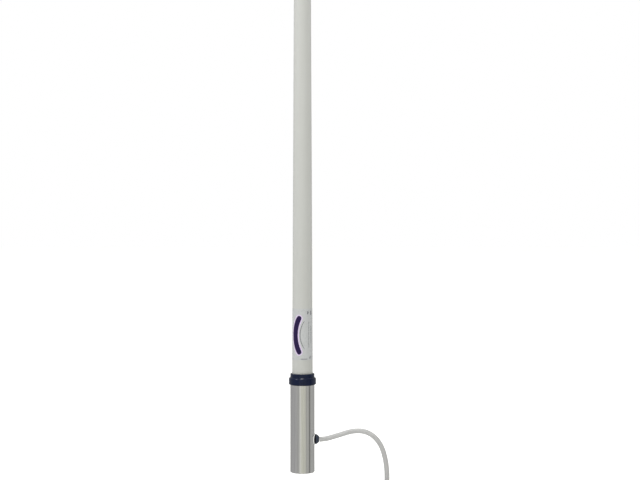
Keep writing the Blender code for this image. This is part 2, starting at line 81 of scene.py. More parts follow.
# Places that the frame gives
FERRULE_RADIUS, _, FERRULE_TOP = upright_part("ferrule_sleeve")
SOCKET_OUTER, SOCKET_FOOT, SOCKET_TOP = upright_part("threaded_insert")
COLLAR_RADIUS, COLLAR_FOOT, COLLAR_TOP = upright_part("collar")
WHIP_BUTT_RADIUS, WHIP_FOOT, SPIGOT_TOP = upright_part("whip_tube")
CAP_RADIUS, CAP_FOOT, CAP_TOP = upright_part("tip_cap")
_, LABEL_FOOT, LABEL_TOP = upright_part("whip_label")
GLAND_LOW, GLAND_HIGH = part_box("gland_bushing")
GLAND_RADIUS = GLAND_HIGH.y
GLAND_HEIGHT = (GLAND_LOW.z + GLAND_HIGH.z) / 2
WASHER_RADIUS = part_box("gland_washer")[1].y
PLUG_AXIS = sum(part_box("plug_pin"), Vector()) / 2
PLUG_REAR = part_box("plug_body")[0].y
PLUG_FACE = plug_part("plug_body")[2]
PLUG_RING_RADIUS, PLUG_RING_START, PLUG_RING_END = plug_part("plug_coupling_ring")
PLUG_PIN_RADIUS, PLUG_PIN_START, PLUG_PIN_END = plug_part("plug_pin")
BOOT_START = plug_part("plug_boot")[1]
SURFACE = CAD_BOX[0].z

# Shapes inside those places, in line with the CAD
FERRULE_BORE_RADIUS = 0.0138
FOOT_LIP_RADIUS = 0.01285
FOOT_LIP_HEIGHT = 0.0015
FOOT_ROUNDING = 0.0012
TOP_ROUNDING = 0.0005
GLAND_HOLE_RADIUS = 0.00475
GLAND_NECK_RADIUS = 0.0043
GLAND_DOME_FOOT = 0.0157
GLAND_DOME_REACH = 0.0054
GLAND_SKIRT_FOOT = 0.0125
WASHER_THICKNESS = 0.0006
# Outer face of the near-black ring of painted shade, where the grommet's dome begins.
SHADE_RING_FACE = 0.0165
SLIDE_RADIUS = 0.00335
SOCKET_RADIUS = 0.0119
SOCKET_MOUTH_RADIUS = 0.0128
COLLAR_BAND_RADIUS = 0.0149
COLLAR_BORE_RADIUS = 0.0131
COLLAR_BULGE_HEIGHT = 0.0088
COLLAR_SHOULDER = 0.0022
SEAL_RING_HEIGHT = 0.1125
SEAL_GROOVE_HALF = 0.00105
SEAL_GROOVE_RADIUS = 0.0149
WHIP_BASE_DIAMETER = 0.0255
WHIP_TAPER = 0.009865
WHIP_EASING = 0.00106
WHIP_WALL_BASE = 0.0024
WHIP_WALL_TIP = 0.0015
SPIGOT_RADIUS = 0.0037
CAP_SLEEVE_RADIUS = 0.00475
CAP_BORE_RADIUS = 0.0040
CAP_SHOULDER = 2.3850
CAP_HEAD_FOOT = 2.3885
CAP_DOME_HEIGHT = 0.0050
PLUG_BARREL_RADIUS = 0.0059
PLUG_FLANGE_RADIUS = 0.0072
PLUG_FLANGE_START = 0.0170
PLUG_RECESS_RADIUS = 0.0055
PLUG_RECESS_START = 0.0200
PLUG_RING_BORE = 0.00755
PLUG_RING_LIP = 0.0063

# Gap between pieces, and the three sizes of their edge breaks
CLEARANCE = 0.0003
FINE_EDGE = 0.0002
EDGE = 0.0003
ROUND_EDGE = 0.0005

# How far the faces of the label stand off the whip
FILM_FOOT = 0.00003
FILM_FACE = 0.00012
HALO_FACES = (FILM_FACE + 0.00001, FILM_FACE + 0.00003)
CRESCENT_FACES = (FILM_FACE + 0.00004, FILM_FACE + 0.00007)
PRINT_FACES = (FILM_FACE + 0.00001, FILM_FACE + 0.00004)

# Threads: 14 turns an inch in the base socket, 24 turns an inch in the plug's ring
INCH = 0.0254
SOCKET_PITCH = INCH / 14
SOCKET_THREAD_DEPTH = 0.0008
SOCKET_MOUTH_DEPTH = 0.0012
PLUG_PITCH = INCH / 24
PLUG_THREAD_DEPTH = 0.0005

# The lead, on the same route as in the CAD
LEAD_DIAMETER = 0.0061
COIL_CENTRE = (0.060, 0.052)
COIL_LAYERS = 6
COIL_TURNS_PER_LAYER = 3.125
COIL_MEAN_RADIUS = 0.0354
COIL_FOOT = SURFACE + 0.0011
RUN_ROUTE = [
    (0.0211, 0.0, 0.0401), (0.0300, 0.0, 0.0411), (0.0390, 0.0, 0.0436),
    (0.0480, 0.0, 0.0463), (0.0565, 0.0, 0.0489), (0.0655, 0.0, 0.0505),
    (0.0750, 0.0, 0.0500), (0.0840, 0.0, 0.0466), (0.0920, 0.0003, 0.0398),
    (0.0980, 0.0010, 0.0300), (0.1020, 0.0025, 0.0175), (0.1042, 0.0052, 0.0040),
    (0.1050, 0.0100, -0.0095), (0.1050, 0.0175, -0.0220), (0.1050, 0.0265, -0.0318),
    (0.1050, 0.0360, -0.0378), (0.1050, 0.0450, -0.0400),
]
TAIL_ROUTE = [
    (0.0715, 0.0086, -0.07085), (0.0830, 0.0096, -0.0708),
    (0.0930, 0.0120, -0.0706), (0.1020, 0.0168, -0.0701), (0.1097, 0.0236, -0.0692),
    (0.1153, 0.0320, -0.0680), (0.1187, 0.0415, -0.0668), (0.1200, 0.0510, -0.0660),
    (0.1200, 0.0620, -0.0660), (0.1200, 0.0730, -0.0660), (0.1200, 0.0845, -0.0660),
]

# Strap round the coil, and the head that locks it
TIE_ANGLE = math.radians(150)
TIE_WIDTH = 0.008
TIE_THICKNESS = 0.0008
TIE_TOOTH_LENGTH = 0.0012
TIE_TOOTH_LOW = 0.0004
TIE_TOOTH_HIGH = 0.0001
TIE_HEAD_SIZE = (0.0065, 0.0100, 0.0036)
TIE_HEAD_TAPER = (0.86, 0.92)
TIE_HEAD_OFFSET = 0.004          # outwards from the middle of the coil's turns
TIE_SLOT_SIZE = (0.0026, 0.0060, 0.0030)
TIE_SLOT_RISE = 0.0034

# Camera and stage
CAMERA_PLACE = (0.0217, -1.5, 0.2863)
CAMERA_LENS = 68.31
SENSOR_WIDTH = 36.0
FLOOR_REACH = 60.0
FLOOR_NEAR_GLOW = 0.12           # near the object, where its soft shadow falls
FLOOR_FAR_GLOW = 0.52
SHINE_LEVELS = (1.0, 2.0)        # strength at the horizon and overhead, as reflections see it
DIFFUSE_LEVELS = (0.90, 1.7)     # the same for diffuse rays

# The pale cards round the object: (bearing in degrees from the camera's side, level, share of blue)
CARD_LEVELS = [
    (-180, 0.50, 0.99), (-160, 0.46, 1.0), (-135, 0.45, 1.0), (-118, 0.49, 1.0), (-100, 0.52, 1.0),
    (-85, 0.50, 1.0), (-61, 0.54, 0.99), (-39, 0.50, 0.96), (-30, 0.56, 0.95), (-21, 0.95, 0.94),
    (-12, 0.78, 0.89), (12, 0.74, 0.87), (31, 0.72, 0.90), (37, 0.48, 0.93), (47, 0.55, 0.95),
    (61, 0.53, 0.95), (67, 0.40, 0.95), (72, 0.10, 0.95), (78, 0.38, 0.96), (85, 0.52, 0.97),
    (98, 0.55, 0.98), (120, 0.50, 0.98), (140, 0.46, 0.99), (162, 0.47, 0.99), (180, 0.50, 0.99),
]


# ---- materials

def new_material(name, colour, roughness, metallic=0.0, **levels):
    """A material with its even values set straight on the Principled sockets."""
    material = bpy.data.materials.new(name)
    material.use_nodes = True
    shader = principled(material)
    shader.inputs["Base Color"].default_value = (*colour, 1.0)
    shader.inputs["Roughness"].default_value = roughness
    shader.inputs["Metallic"].default_value = metallic
    for socket, value in levels.items():
        shader.inputs[socket.replace("_", " ")].default_value = value
    return material


def link(owner, source, socket):
    """Feed a socket from another socket, or set it to a plain value."""
    if isinstance(source, bpy.types.NodeSocket):
        owner.node_tree.links.new(source, socket)
    else:
        socket.default_value = source


def add_node(owner, kind, **inputs):
    """A node of a material or a world, with its named inputs linked or set."""
    added = owner.node_tree.nodes.new(kind)
    for socket, source in inputs.items():
        link(owner, source, added.inputs[socket.replace("_", " ")])
    return added


def principled(material):
    return material.node_tree.nodes["Principled BSDF"]


def map_range(owner, source, span, result=(0.0, 1.0), interpolation="LINEAR"):
    """A value carried from one span to another, and held at its ends."""
    spread = add_node(owner, "ShaderNodeMapRange", Value=source, From_Min=span[0], From_Max=span[1],
                      To_Min=result[0], To_Max=result[1])
    spread.interpolation_type = interpolation
    return spread.outputs["Result"]


def noise(material, size, stretch=(1.0, 1.0, 1.0), detail=3.0):
    """Noise with features of a size in metres; stretch lengthens them along an axis."""
    place = add_node(material, "ShaderNodeTexCoord")
    mapping = add_node(material, "ShaderNodeMapping", Vector=place.outputs["Object"],
                       Scale=[1.0 / (size * along) for along in stretch])
    texture = add_node(material, "ShaderNodeTexNoise", Vector=mapping.outputs["Vector"], Scale=1.0,
                       Detail=detail, Roughness=0.55)
    return texture.outputs["Fac"]


def height_share(material, low, high):
    """0 at one height and 1 at the other."""
    place = add_node(material, "ShaderNodeTexCoord")
    split = add_node(material, "ShaderNodeSeparateXYZ", Vector=place.outputs["Object"])
    return map_range(material, split.outputs["Z"], (low, high))


def edge_share(material, low=0.50, high=0.56):
    """0 on flats and 1 on outward edges."""
    geometry = add_node(material, "ShaderNodeNewGeometry")
    return map_range(material, geometry.outputs["Pointiness"], (low, high))


def ramp(owner, source, stops):
    """Colours along a source value."""
    added = add_node(owner, "ShaderNodeValToRGB", Fac=source)
    band = added.color_ramp
    while len(band.elements) < len(stops):
        band.elements.new(0.5)
    for element, (position, colour) in zip(band.elements, stops):
        element.position = position
        element.color = (*colour, 1.0)
    return added.outputs["Color"]


def blend(material, kind, share, first, second):
    """Mix two colours by a share, which is a number or a socket."""
    added = add_node(material, "ShaderNodeMix")
    added.data_type = "RGBA"
    added.blend_type = kind
    factor_input, first_input, second_input = added.inputs[0], added.inputs[6], added.inputs[7]
    link(material, share, factor_input)
    link(material, first, first_input)
    link(material, second, second_input)
    return added.outputs[2]


def set_colour(material, source):
    link(material, source, principled(material).inputs["Base Color"])


def set_roughness(material, source, low, high):
    """Let a noise move the roughness between two levels."""
    spread = map_range(material, source, (0.3, 0.7), (low, high))
    link(material, spread, principled(material).inputs["Roughness"])


def set_bump(material, source, depth, strength=1.0):
    """Fine relief of a depth in metres."""
    bump = add_node(material, "ShaderNodeBump", Strength=strength, Distance=depth, Height=source)
    link(material, bump.outputs["Normal"], principled(material).inputs["Normal"])


def shades(colour, darker, lighter):
    """Two tones of one colour, for the ends of a ramp."""
    low = tuple(channel * darker for channel in colour)
    high = tuple(min(channel * lighter, 1.0) for channel in colour)
    return [(0.30, low), (0.70, high)]


def stainless_material():
    """Tube polished with fine lines along its length."""
    steel = (0.64, 0.64, 0.635)
    material = new_material("stainless_tube", steel, 0.12, 1.0)
    wide = ramp(material, noise(material, 0.0022, (1, 1, 60)), shades(steel, 0.94, 1.05))
    line_tones = [(0.35, (0.90,) * 3), (0.65, (1.0,) * 3)]
    fine = ramp(material, noise(material, 0.00025, (1, 1, 80)), line_tones)
    lines = blend(material, "MULTIPLY", 1.0, wide, fine)
    worn = blend(material, "MIX", edge_share(material), lines, (0.80, 0.79, 0.77, 1.0))
    set_colour(material, worn)
    set_roughness(material, noise(material, 0.0009, (1, 1, 40)), 0.09, 0.15)
    set_bump(material, noise(material, 0.00022, (1, 1, 90)), 0.000004, 0.5)
    return material


def metal_material(name, colour, roughness, size=0.0015, depth=0.00001):
    """Turned or plated metal: faint tone changes, brighter edges."""
    material = new_material(name, colour, roughness, 1.0)
    toned = ramp(material, noise(material, size * 3), shades(colour, 0.86, 1.06))
    bright = tuple(min(channel * 1.25, 1.0) for channel in colour)
    worn = blend(material, "MIX", edge_share(material), toned, (*bright, 1.0))
    set_colour(material, worn)
    set_roughness(material, noise(material, size), roughness * 0.8, roughness * 1.25)
    set_bump(material, noise(material, size / 4), depth, 0.4)
    return material


def moulded_material(name, colour, roughness, level=0.5, size=0.0004, depth=0.00001):
    """Injection-moulded plastic: faint cloudiness, fine grain, paler edges."""
    material = new_material(name, colour, roughness, 0.0, Specular_IOR_Level=level)
    toned = ramp(material, noise(material, 0.006), shades(colour, 0.90, 1.10))
    pale = tuple(min(channel * 1.5 + 0.01, 1.0) for channel in colour)
    worn = blend(material, "MIX", edge_share(material, 0.52, 0.60), toned, (*pale, 1.0))
    set_colour(material, worn)
    set_roughness(material, noise(material, 0.0025), roughness * 0.85, roughness * 1.15)
    set_bump(material, noise(material, size), depth, 0.5)
    return material


def paint_material():
    """Satin pale grey paint over fibreglass, faint orange peel; painted light makes it lighter towards the
    tip, for the brighter light on the upper whip.
    """
    base = (0.486, 0.491, 0.476)
    tip = (0.715, 0.720, 0.715)
    material = new_material("painted_fibreglass", base, 0.35, 0.0, Coat_Weight=0.15, Coat_Roughness=0.12)
    # Painted light: the colour grows lighter up the whip, standing in for the brighter light on its upper
    # part.
    tip_light_painted = ramp(material, height_share(material, 0.10, 2.40), [(0.0, base), (1.0, tip)])
    cloud_tones = [(0.35, (0.975, 0.975, 0.97)), (0.65, (1, 1, 1))]
    clouds = ramp(material, noise(material, 0.012, (1, 1, 8)), cloud_tones)
    set_colour(material, blend(material, "MULTIPLY", 1.0, tip_light_painted, clouds))
    set_roughness(material, noise(material, 0.004, (1, 1, 6)), 0.30, 0.42)
    set_bump(material, noise(material, 0.0011, (1, 1, 2)), 0.00003, 0.35)
    return material


def jacket_material():
    """Soft PVC jacket with a faint ripple from the shield under it."""
    grey = (0.474, 0.474, 0.480)
    material = new_material("lead_jacket", grey, 0.42, 0.0, Specular_IOR_Level=0.45)
    toned = ramp(material, noise(material, 0.009), shades(grey, 0.93, 1.03))
    scuff_tones = [(0.26, (0.93, 0.925, 0.91)), (0.42, (1, 1, 1))]
    scuffs = ramp(material, noise(material, 0.0016, detail=6.0), scuff_tones)
    set_colour(material, blend(material, "MULTIPLY", 1.0, toned, scuffs))
    set_roughness(material, noise(material, 0.003), 0.36, 0.50)
    set_bump(material, noise(material, 0.0014), 0.00003, 0.4)
    return material


def film_material():
    """Thin glossy film, nearly the tone of the paint that shows through it."""
    clear = (0.480, 0.492, 0.503)
    material = new_material("label_film", clear, 0.30, 0.0, Coat_Weight=0.15, Coat_Roughness=0.10)
    set_colour(material, ramp(material, noise(material, 0.01, (1, 1, 3)), shades(clear, 0.98, 1.01)))
    set_roughness(material, noise(material, 0.003), 0.24, 0.34)
    set_bump(material, noise(material, 0.0015), 0.00001, 0.3)
    return material


def ink_material(name, colour):
    """Matt, faintly mottled tone for print, and for the near-black ring of painted shade at the gland."""
    material = new_material(name, colour, 0.5, 0.0, Specular_IOR_Level=0.15)
    set_colour(material, ramp(material, noise(material, 0.0006, detail=5.0), shades(colour, 0.80, 1.20)))
    set_roughness(material, noise(material, 0.0008), 0.34, 0.48)
    return material


STAINLESS = stainless_material()
PAINT = paint_material()
JACKET = jacket_material()
FILM = film_material()
NAVY = moulded_material("navy_moulding", (0.0016, 0.0062, 0.0290), 0.17, 0.26)
GROMMET = moulded_material("grommet_rubber", (0.018, 0.028, 0.052), 0.42, 0.5)
CAP_BLUE = moulded_material("blue_moulding", (0.020, 0.057, 0.178), 0.22, 0.5)
BRASS = metal_material("brass", (0.72, 0.52, 0.22), 0.30)
COPPER = metal_material("copper", (0.75, 0.38, 0.22), 0.28, 0.001)
NICKEL = metal_material("nickel_plate", (0.70, 0.69, 0.65), 0.24)
WHITE_NYLON = moulded_material("white_nylon", (0.80, 0.79, 0.74), 0.45)
WASHER_WHITE = moulded_material("washer_white", (0.84, 0.86, 0.92), 0.40)
FOAM = moulded_material("pale_foam", (0.72, 0.70, 0.60), 0.85, 0.2, 0.0008, 0.0002)
RUBBER = moulded_material("black_rubber", (0.022, 0.022, 0.023), 0.65, 0.4, 0.0005, 0.00003)
RESIN = moulded_material("brown_resin", (0.22, 0.12, 0.05), 0.40, 0.5, 0.0007, 0.00001)
VIOLET_INK = ink_material("violet_ink", (0.018, 0.008, 0.055))
LILAC_INK = ink_material("lilac_ink", (0.62, 0.52, 0.72))
GREY_INK = ink_material("grey_ink", (0.13, 0.13, 0.15))
# Painted shade: near-black colour for the ring that stands in for the shadow in the groove at the gland
# dome's foot.
GROOVE_SHADE_BLACK = ink_material("groove_shade_black", (0.0010, 0.0022, 0.0060))


# ---- building blocks

def add_object(name, data):
    """A new object in the scene."""
    added = bpy.data.objects.new(name, data)
    bpy.context.collection.objects.link(added)
    return added


def to_mesh(name, build):
    """A mesh of a bmesh, with its faces turned outwards; the bmesh is used up."""
    bmesh.ops.recalc_face_normals(build, faces=build.faces)
    mesh = bpy.data.meshes.new(name)
    build.to_mesh(mesh)
    build.free()
    return mesh


def add_piece(name, build, material, nodes=(), body=ANTENNA, sharp=38.0):
    """Turn a bmesh into a piece that rides on a body and stands for some CAD nodes."""
    mesh = to_mesh(name, build)
    mesh.shade_smooth()
    mesh.set_sharp_from_angle(angle=math.radians(sharp))
    mesh.materials.append(material)
    piece = add_object(name, mesh)
    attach(piece, body)
    if nodes:
        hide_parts(*nodes)
    return piece


def arc(centre, radius, start, stop, steps):
    """Points of an arc in the (radius, height) plane, angles in degrees."""
    points = []
    for step in range(steps + 1):
        angle = math.radians(start + (stop - start) * step / steps)
        points.append((centre[0] + radius * math.cos(angle), centre[1] + radius * math.sin(angle)))
    return points


def corner(radius, height, size, start, steps=1):
    """Quarter turn that breaks an outline's corner, from a start angle in degrees.

    It starts at -90 for an outer foot, 0 for an outer top, 90 for a bore's top, 180 for its foot.
    """
    middle = math.radians(start + 45)
    centre = (radius - math.copysign(size, math.cos(middle)), height - math.copysign(size, math.sin(middle)))
    return arc(centre, size, start, start + 90, steps)


def fill(start, stop, count):
    """Evenly spaced points strictly between two outline points."""
    points = []
    for step in range(1, count + 1):
        share = step / (count + 1)
        points.append((start[0] + (stop[0] - start[0]) * share, start[1] + (stop[1] - start[1]) * share))
    return points


def lathe(outline, sides=96, relief=None):
    """Spin an outline about Z; relief(radius, height, angle) may change each point's radius.

    An outline that starts and ends on the axis makes a solid with no bore.
    """
    build = bmesh.new()
    rings = []
    for radius, height in outline:
        if radius == 0.0:
            rings.append([build.verts.new((0.0, 0.0, height))] * sides)
            continue
        ring = []
        for side in range(sides):
            angle = math.tau * side / sides
            reach = relief(radius, height, angle) if relief else radius
            ring.append(build.verts.new((reach * math.cos(angle), reach * math.sin(angle), height)))
        rings.append(ring)
    pairs = list(zip(rings, rings[1:]))
    if outline[0][0] > 0.0:
        pairs.append((rings[-1], rings[0]))
    for low, high in pairs:
        for side in range(sides):
            after = (side + 1) % sides
            corners = list(dict.fromkeys((low[side], low[after], high[after], high[side])))
            if len(corners) > 2:
                build.faces.new(corners)
    return build


def tube(bore, radius, low, high, sides):
    """Plain tube, or a bar where the bore is 0."""
    return lathe([(bore, low), (radius, low), (radius, high), (bore, high)], sides)


def lay(build, place, angle, axis):
    """Turn a shape about an axis through the origin, and then move it to its place."""
    build.transform(Matrix.Translation(place) @ Matrix.Rotation(angle, 4, axis))
    return build


def along_x(build):
    """Lay a turned shape along +X at the gland's height."""
    return lay(build, (0.0, 0.0, GLAND_HEIGHT), math.pi / 2, "Y")


def along_plug(build):
    """Lay a turned shape along the plug's axis, measured from the plug's rear."""
    return lay(build, (PLUG_AXIS.x, PLUG_REAR, PLUG_AXIS.z), -math.pi / 2, "X")


def across_coil(build):
    """Turn a shape made in the XZ plane to where the strap crosses the coil."""
    return lay(build, (*COIL_CENTRE, 0.0), TIE_ANGLE, "Z")


def block(size, place, taper=(1.0, 1.0), edge=0.0):
    """Box whose top narrows by the taper, with rounded edges if it has an edge radius."""
    build = bmesh.new()
    bmesh.ops.create_cube(build, size=1.0)
    for corner in build.verts:
        narrowing = taper if corner.co.z > 0 else (1.0, 1.0)
        corner.co.x *= size[0] * narrowing[0]
        corner.co.y *= size[1] * narrowing[1]
        corner.co.z *= size[2]
    if edge:
        bmesh.ops.bevel(build, geom=build.edges[:], offset=edge, segments=3, profile=0.5, affect="EDGES")
    bmesh.ops.translate(build, verts=build.verts, vec=place)
    return build


def cut(piece, cutters):
    """Take shapes away from a piece, and leave no helper behind."""
    for number, build in enumerate(cutters):
        cutter = add_object(f"cutter_{number}", to_mesh(f"cutter_{number}", build))
        step = piece.modifiers.new("cut", "BOOLEAN")
        step.operation = "DIFFERENCE"
        step.solver = "EXACT"
        step.object = cutter
        shaped = bpy.data.meshes.new_from_object(
            piece.evaluated_get(bpy.context.evaluated_depsgraph_get()))
        piece.modifiers.clear()
        bpy.data.objects.remove(cutter, do_unlink=True)
        piece.data = shaped
    piece.data.shade_smooth()
    piece.data.set_sharp_from_angle(angle=math.radians(35))


def whip_radius(height):
    rise = max(height, COLLAR_TOP) - COLLAR_TOP
    return (WHIP_BASE_DIAMETER - WHIP_TAPER * rise + WHIP_EASING * rise * rise) / 2


def whip_bore(height):
    share = max(height - COLLAR_TOP, 0.0) / (CAP_FOOT - COLLAR_TOP)
    return whip_radius(height) - WHIP_WALL_BASE - (WHIP_WALL_TIP - WHIP_WALL_BASE) * share


# ---- ferrule, collar, whip

def make_ferrule():
    """Polished tube with a rounded foot, a lip inside the foot and the hole for the gland."""
    top_edge = corner(FERRULE_RADIUS, FERRULE_TOP, TOP_ROUNDING, 0, 6)
    outline = corner(FOOT_LIP_RADIUS, 0.0, EDGE, 180, 3)
    outline += corner(FERRULE_RADIUS, 0.0, FOOT_ROUNDING, -90, 8)
    outline += fill(outline[-1], top_edge[0], 24) + top_edge
    outline += [(FERRULE_BORE_RADIUS, FERRULE_TOP), (FERRULE_BORE_RADIUS, FOOT_LIP_HEIGHT),
                (FOOT_LIP_RADIUS, FOOT_LIP_HEIGHT)]
    sleeve = add_piece("ferrule", lathe(outline, 128), STAINLESS, ["ferrule_sleeve"])
    past = 0.004
    drill = tube(0.0, GLAND_HOLE_RADIUS, FERRULE_BORE_RADIUS - past, FERRULE_RADIUS + past, 48)
    cut(sleeve, [along_x(drill)])


def thread_relief(bore, depth, pitch, foot, top):
    """Radius of an internal thread whose crests are at the bore, fading out at both ends."""
    def relief(radius, height, angle):
        if abs(radius - bore) > 1e-6 or not foot < height < top:
            return radius
        turn = (height / pitch - angle / math.tau) % 1.0
        groove = min(max(1.25 - abs(turn - 0.5) * 3.0, 0.0), 1.0)
        fade = min((height - foot) / pitch, (top - height) / pitch, 1.0)
        return radius + depth * groove * fade
    return relief


def make_socket():
    """Brass socket with its internal thread."""
    mouth_top = SOCKET_FOOT + SOCKET_MOUTH_DEPTH
    rows_per_turn = 10
    rows = round((SOCKET_TOP - mouth_top) / SOCKET_PITCH * rows_per_turn)
    bore_top = (SOCKET_RADIUS, SOCKET_TOP)
    bore_foot = (SOCKET_RADIUS, mouth_top)
    outline = [(SOCKET_MOUTH_RADIUS, SOCKET_FOOT)]
    outline += corner(SOCKET_OUTER, SOCKET_FOOT, FINE_EDGE, -90)
    outline += corner(SOCKET_OUTER, SOCKET_TOP, FINE_EDGE, 0)
    outline += [bore_top] + fill(bore_top, bore_foot, rows) + [bore_foot]
    relief = thread_relief(SOCKET_RADIUS, SOCKET_THREAD_DEPTH, SOCKET_PITCH, mouth_top, SOCKET_TOP)
    add_piece("base_thread", lathe(outline, 96, relief), BRASS, ["threaded_insert"], sharp=60)


def make_collar():
    """Narrow band over a wider bulge with a round shoulder, and the seal's groove inside."""
    bulge_top = COLLAR_FOOT + COLLAR_BULGE_HEIGHT
    shoulder_centre = (COLLAR_RADIUS - COLLAR_SHOULDER, bulge_top - COLLAR_SHOULDER)
    fillet_centre = (COLLAR_BAND_RADIUS + FINE_EDGE, bulge_top + FINE_EDGE)
    groove_top = SEAL_RING_HEIGHT + SEAL_GROOVE_HALF
    groove_foot = SEAL_RING_HEIGHT - SEAL_GROOVE_HALF
    outline = [(COLLAR_BORE_RADIUS, COLLAR_FOOT)]
    outline += corner(COLLAR_RADIUS, COLLAR_FOOT, ROUND_EDGE, -90, 6)
    outline += arc(shoulder_centre, COLLAR_SHOULDER, 0, 80, 12)
    outline += arc(fillet_centre, FINE_EDGE, 260, 180, 4)
    outline += corner(COLLAR_BAND_RADIUS, COLLAR_TOP, EDGE, 0, 6)
    outline += corner(COLLAR_BORE_RADIUS, COLLAR_TOP, FINE_EDGE, 90)
    outline += [(COLLAR_BORE_RADIUS, groove_top), (SEAL_GROOVE_RADIUS, groove_top),
                (SEAL_GROOVE_RADIUS, groove_foot), (COLLAR_BORE_RADIUS, groove_foot)]
    add_piece("collar_moulding", lathe(outline, 128), NAVY, ["collar"])


def make_whip():
    """Tapered tube, with the spigot at its top that the cap sits on."""
    shoulder = CAP_FOOT - CLEARANCE
    ledge = shoulder + 0.0001
    ledge_width = 0.0004
    rings = 90
    heights = [FERRULE_TOP + (shoulder - FERRULE_TOP) * step / rings for step in range(rings + 1)]
    outline = corner(WHIP_BUTT_RADIUS, WHIP_FOOT, ROUND_EDGE, -90)
    outline += [(WHIP_BUTT_RADIUS, FERRULE_TOP - ROUND_EDGE)]
    outline += [(whip_radius(height), height) for height in heights]
    outline += [(whip_radius(shoulder) - ledge_width, ledge), (SPIGOT_RADIUS, ledge)]
    outline += corner(SPIGOT_RADIUS, SPIGOT_TOP, EDGE, 0) + [(whip_bore(shoulder), SPIGOT_TOP)]
    outline += [(whip_bore(height), height) for height in reversed(heights)]
    outline += [(whip_bore(WHIP_FOOT), WHIP_FOOT)]
    add_piece("whip", lathe(outline, 96), PAINT, ["whip_tube"])


def make_tip_cap():
    """Cap with a slim sleeve that flares softly into a domed head."""
    dome_foot = CAP_TOP - CAP_DOME_HEIGHT
    roof = CAP_HEAD_FOOT + 0.0005
    outline = [(0.0, roof), (CAP_BORE_RADIUS, roof), (CAP_BORE_RADIUS, CAP_FOOT)]
    outline += corner(CAP_SLEEVE_RADIUS, CAP_FOOT, EDGE, -90, 4)
    for outwards, upwards in ((0.0, -0.0008), (0.00010, 0.0), (0.00038, 0.0012)):
        outline.append((CAP_SLEEVE_RADIUS + outwards, CAP_SHOULDER + upwards))
    for inwards, downwards in ((0.00016, 0.0008), (0.00002, 0.0)):
        outline.append((CAP_RADIUS - inwards, CAP_HEAD_FOOT - downwards))
    outline += fill(outline[-1], (CAP_RADIUS, dome_foot), 4)
    steps = 13
    for step in range(steps):
        turn = math.radians(90) * step / steps
        outline.append((CAP_RADIUS * math.cos(turn), dome_foot + CAP_DOME_HEIGHT * math.sin(turn)))
    outline += [(0.0, CAP_TOP)]
    add_piece("tip_cap_moulding", lathe(outline, 64), CAP_BLUE, ["tip_cap"], sharp=60)


def upright(radius, bore=0.0):
    """Bar or tube about the whip's axis, long enough to cut any piece of the gland."""
    half = 0.02
    return tube(bore, radius, GLAND_HEIGHT - half, GLAND_HEIGHT + half, 160)


def make_gland_washer(bore, inside, outside):
    """Thin washer curved round the ferrule."""
    blank = along_x(tube(bore, WASHER_RADIUS, GLAND_SKIRT_FOOT, outside + 0.001, 96))
    washer = add_piece("gland_seal_washer", blank, WASHER_WHITE, ["gland_washer"])
    cut(washer, [upright(inside), upright(outside + 0.005, outside)])


def make_groove_shade_ring(bore, inside):
    """Near-black ring between the washer and the dome: painted shade, standing in for the shadowed groove at
    the dome's foot.
    """
    rim = GLAND_RADIUS - 0.00015
    outline = [(bore, GLAND_SKIRT_FOOT), (rim, GLAND_SKIRT_FOOT)]
    outline += corner(rim, SHADE_RING_FACE, EDGE, 0) + [(bore, SHADE_RING_FACE)]
    shade_ring = add_piece("groove_shade_ring", along_x(lathe(outline, 96)), GROOVE_SHADE_BLACK)
    cut(shade_ring, [upright(inside)])


def make_gland_dome(foot):
    """Grommet whose dome, with one fine groove, closes on the lead."""
    start = math.asin((SHADE_RING_FACE - GLAND_DOME_FOOT) / GLAND_DOME_REACH)
    stop = math.radians(56)
    steps = 24
    groove_steps = (13, 14)
    outline = [(SLIDE_RADIUS, GLAND_LOW.x), (GLAND_NECK_RADIUS, GLAND_LOW.x),
               (GLAND_NECK_RADIUS, foot), (GLAND_RADIUS * math.cos(start) - EDGE, foot)]
    for step in range(steps + 1):
        turn = start + (stop - start) * (step + 1) / (steps + 1)
        groove = 0.0002 if step in groove_steps else 0.0
        outline.append((GLAND_RADIUS * math.cos(turn) - groove,
                        GLAND_DOME_FOOT + GLAND_DOME_REACH * math.sin(turn)))
    outline += [(SLIDE_RADIUS + 0.00012, GLAND_HIGH.x - 0.0001), (SLIDE_RADIUS + 0.00006, GLAND_HIGH.x),
                (SLIDE_RADIUS, GLAND_HIGH.x - 0.0001)]
    add_piece("gland_grommet", along_x(lathe(outline, 72)), GROMMET, ["gland_bushing"])


def make_gland():
    """Washer, a near-black ring of painted groove shade, and grommet, stacked outwards on the ferrule with
    hairline gaps.
    """
    hairline = 0.00003
    bore = GLAND_NECK_RADIUS + 0.0002
    washer_inside = FERRULE_RADIUS + 0.00005
    washer_outside = washer_inside + WASHER_THICKNESS
    make_gland_washer(bore, washer_inside, washer_outside)
    make_groove_shade_ring(bore, washer_outside + hairline)
    make_gland_dome(SHADE_RING_FACE + hairline)


# ---- label

def add_band(build, sides, low_lift, high_lift):
    """Add a thin closed shell on the whip, from rows of (sideways, height) points.

    Sideways is measured round the tube from its front line, which faces -Y.
    """
    layers = []
    for lift in (low_lift, high_lift):
        layer = []
        for row in sides:
            spots = []
            for sideways, height in row:
                radius = whip_radius(height)
                angle = sideways / radius
                spots.append(build.verts.new(((radius + lift) * math.sin(angle),
                                              -(radius + lift) * math.cos(angle), height)))
            layer.append(spots)
        layers.append(layer)
    low, high = layers
    last_row = len(sides) - 1
    last_spot = len(sides[0]) - 1
    for row in range(last_row):
        for spot in range(last_spot):
            for layer in (low, high):
                build.faces.new((layer[row][spot], layer[row][spot + 1],
                                 layer[row + 1][spot + 1], layer[row + 1][spot]))
        for spot in (0, last_spot):
            build.faces.new((low[row][spot], low[row + 1][spot], high[row + 1][spot], high[row][spot]))
    for row in (0, last_row):
        for spot in range(last_spot):
            build.faces.new((low[row][spot], low[row][spot + 1], high[row][spot + 1], high[row][spot]))


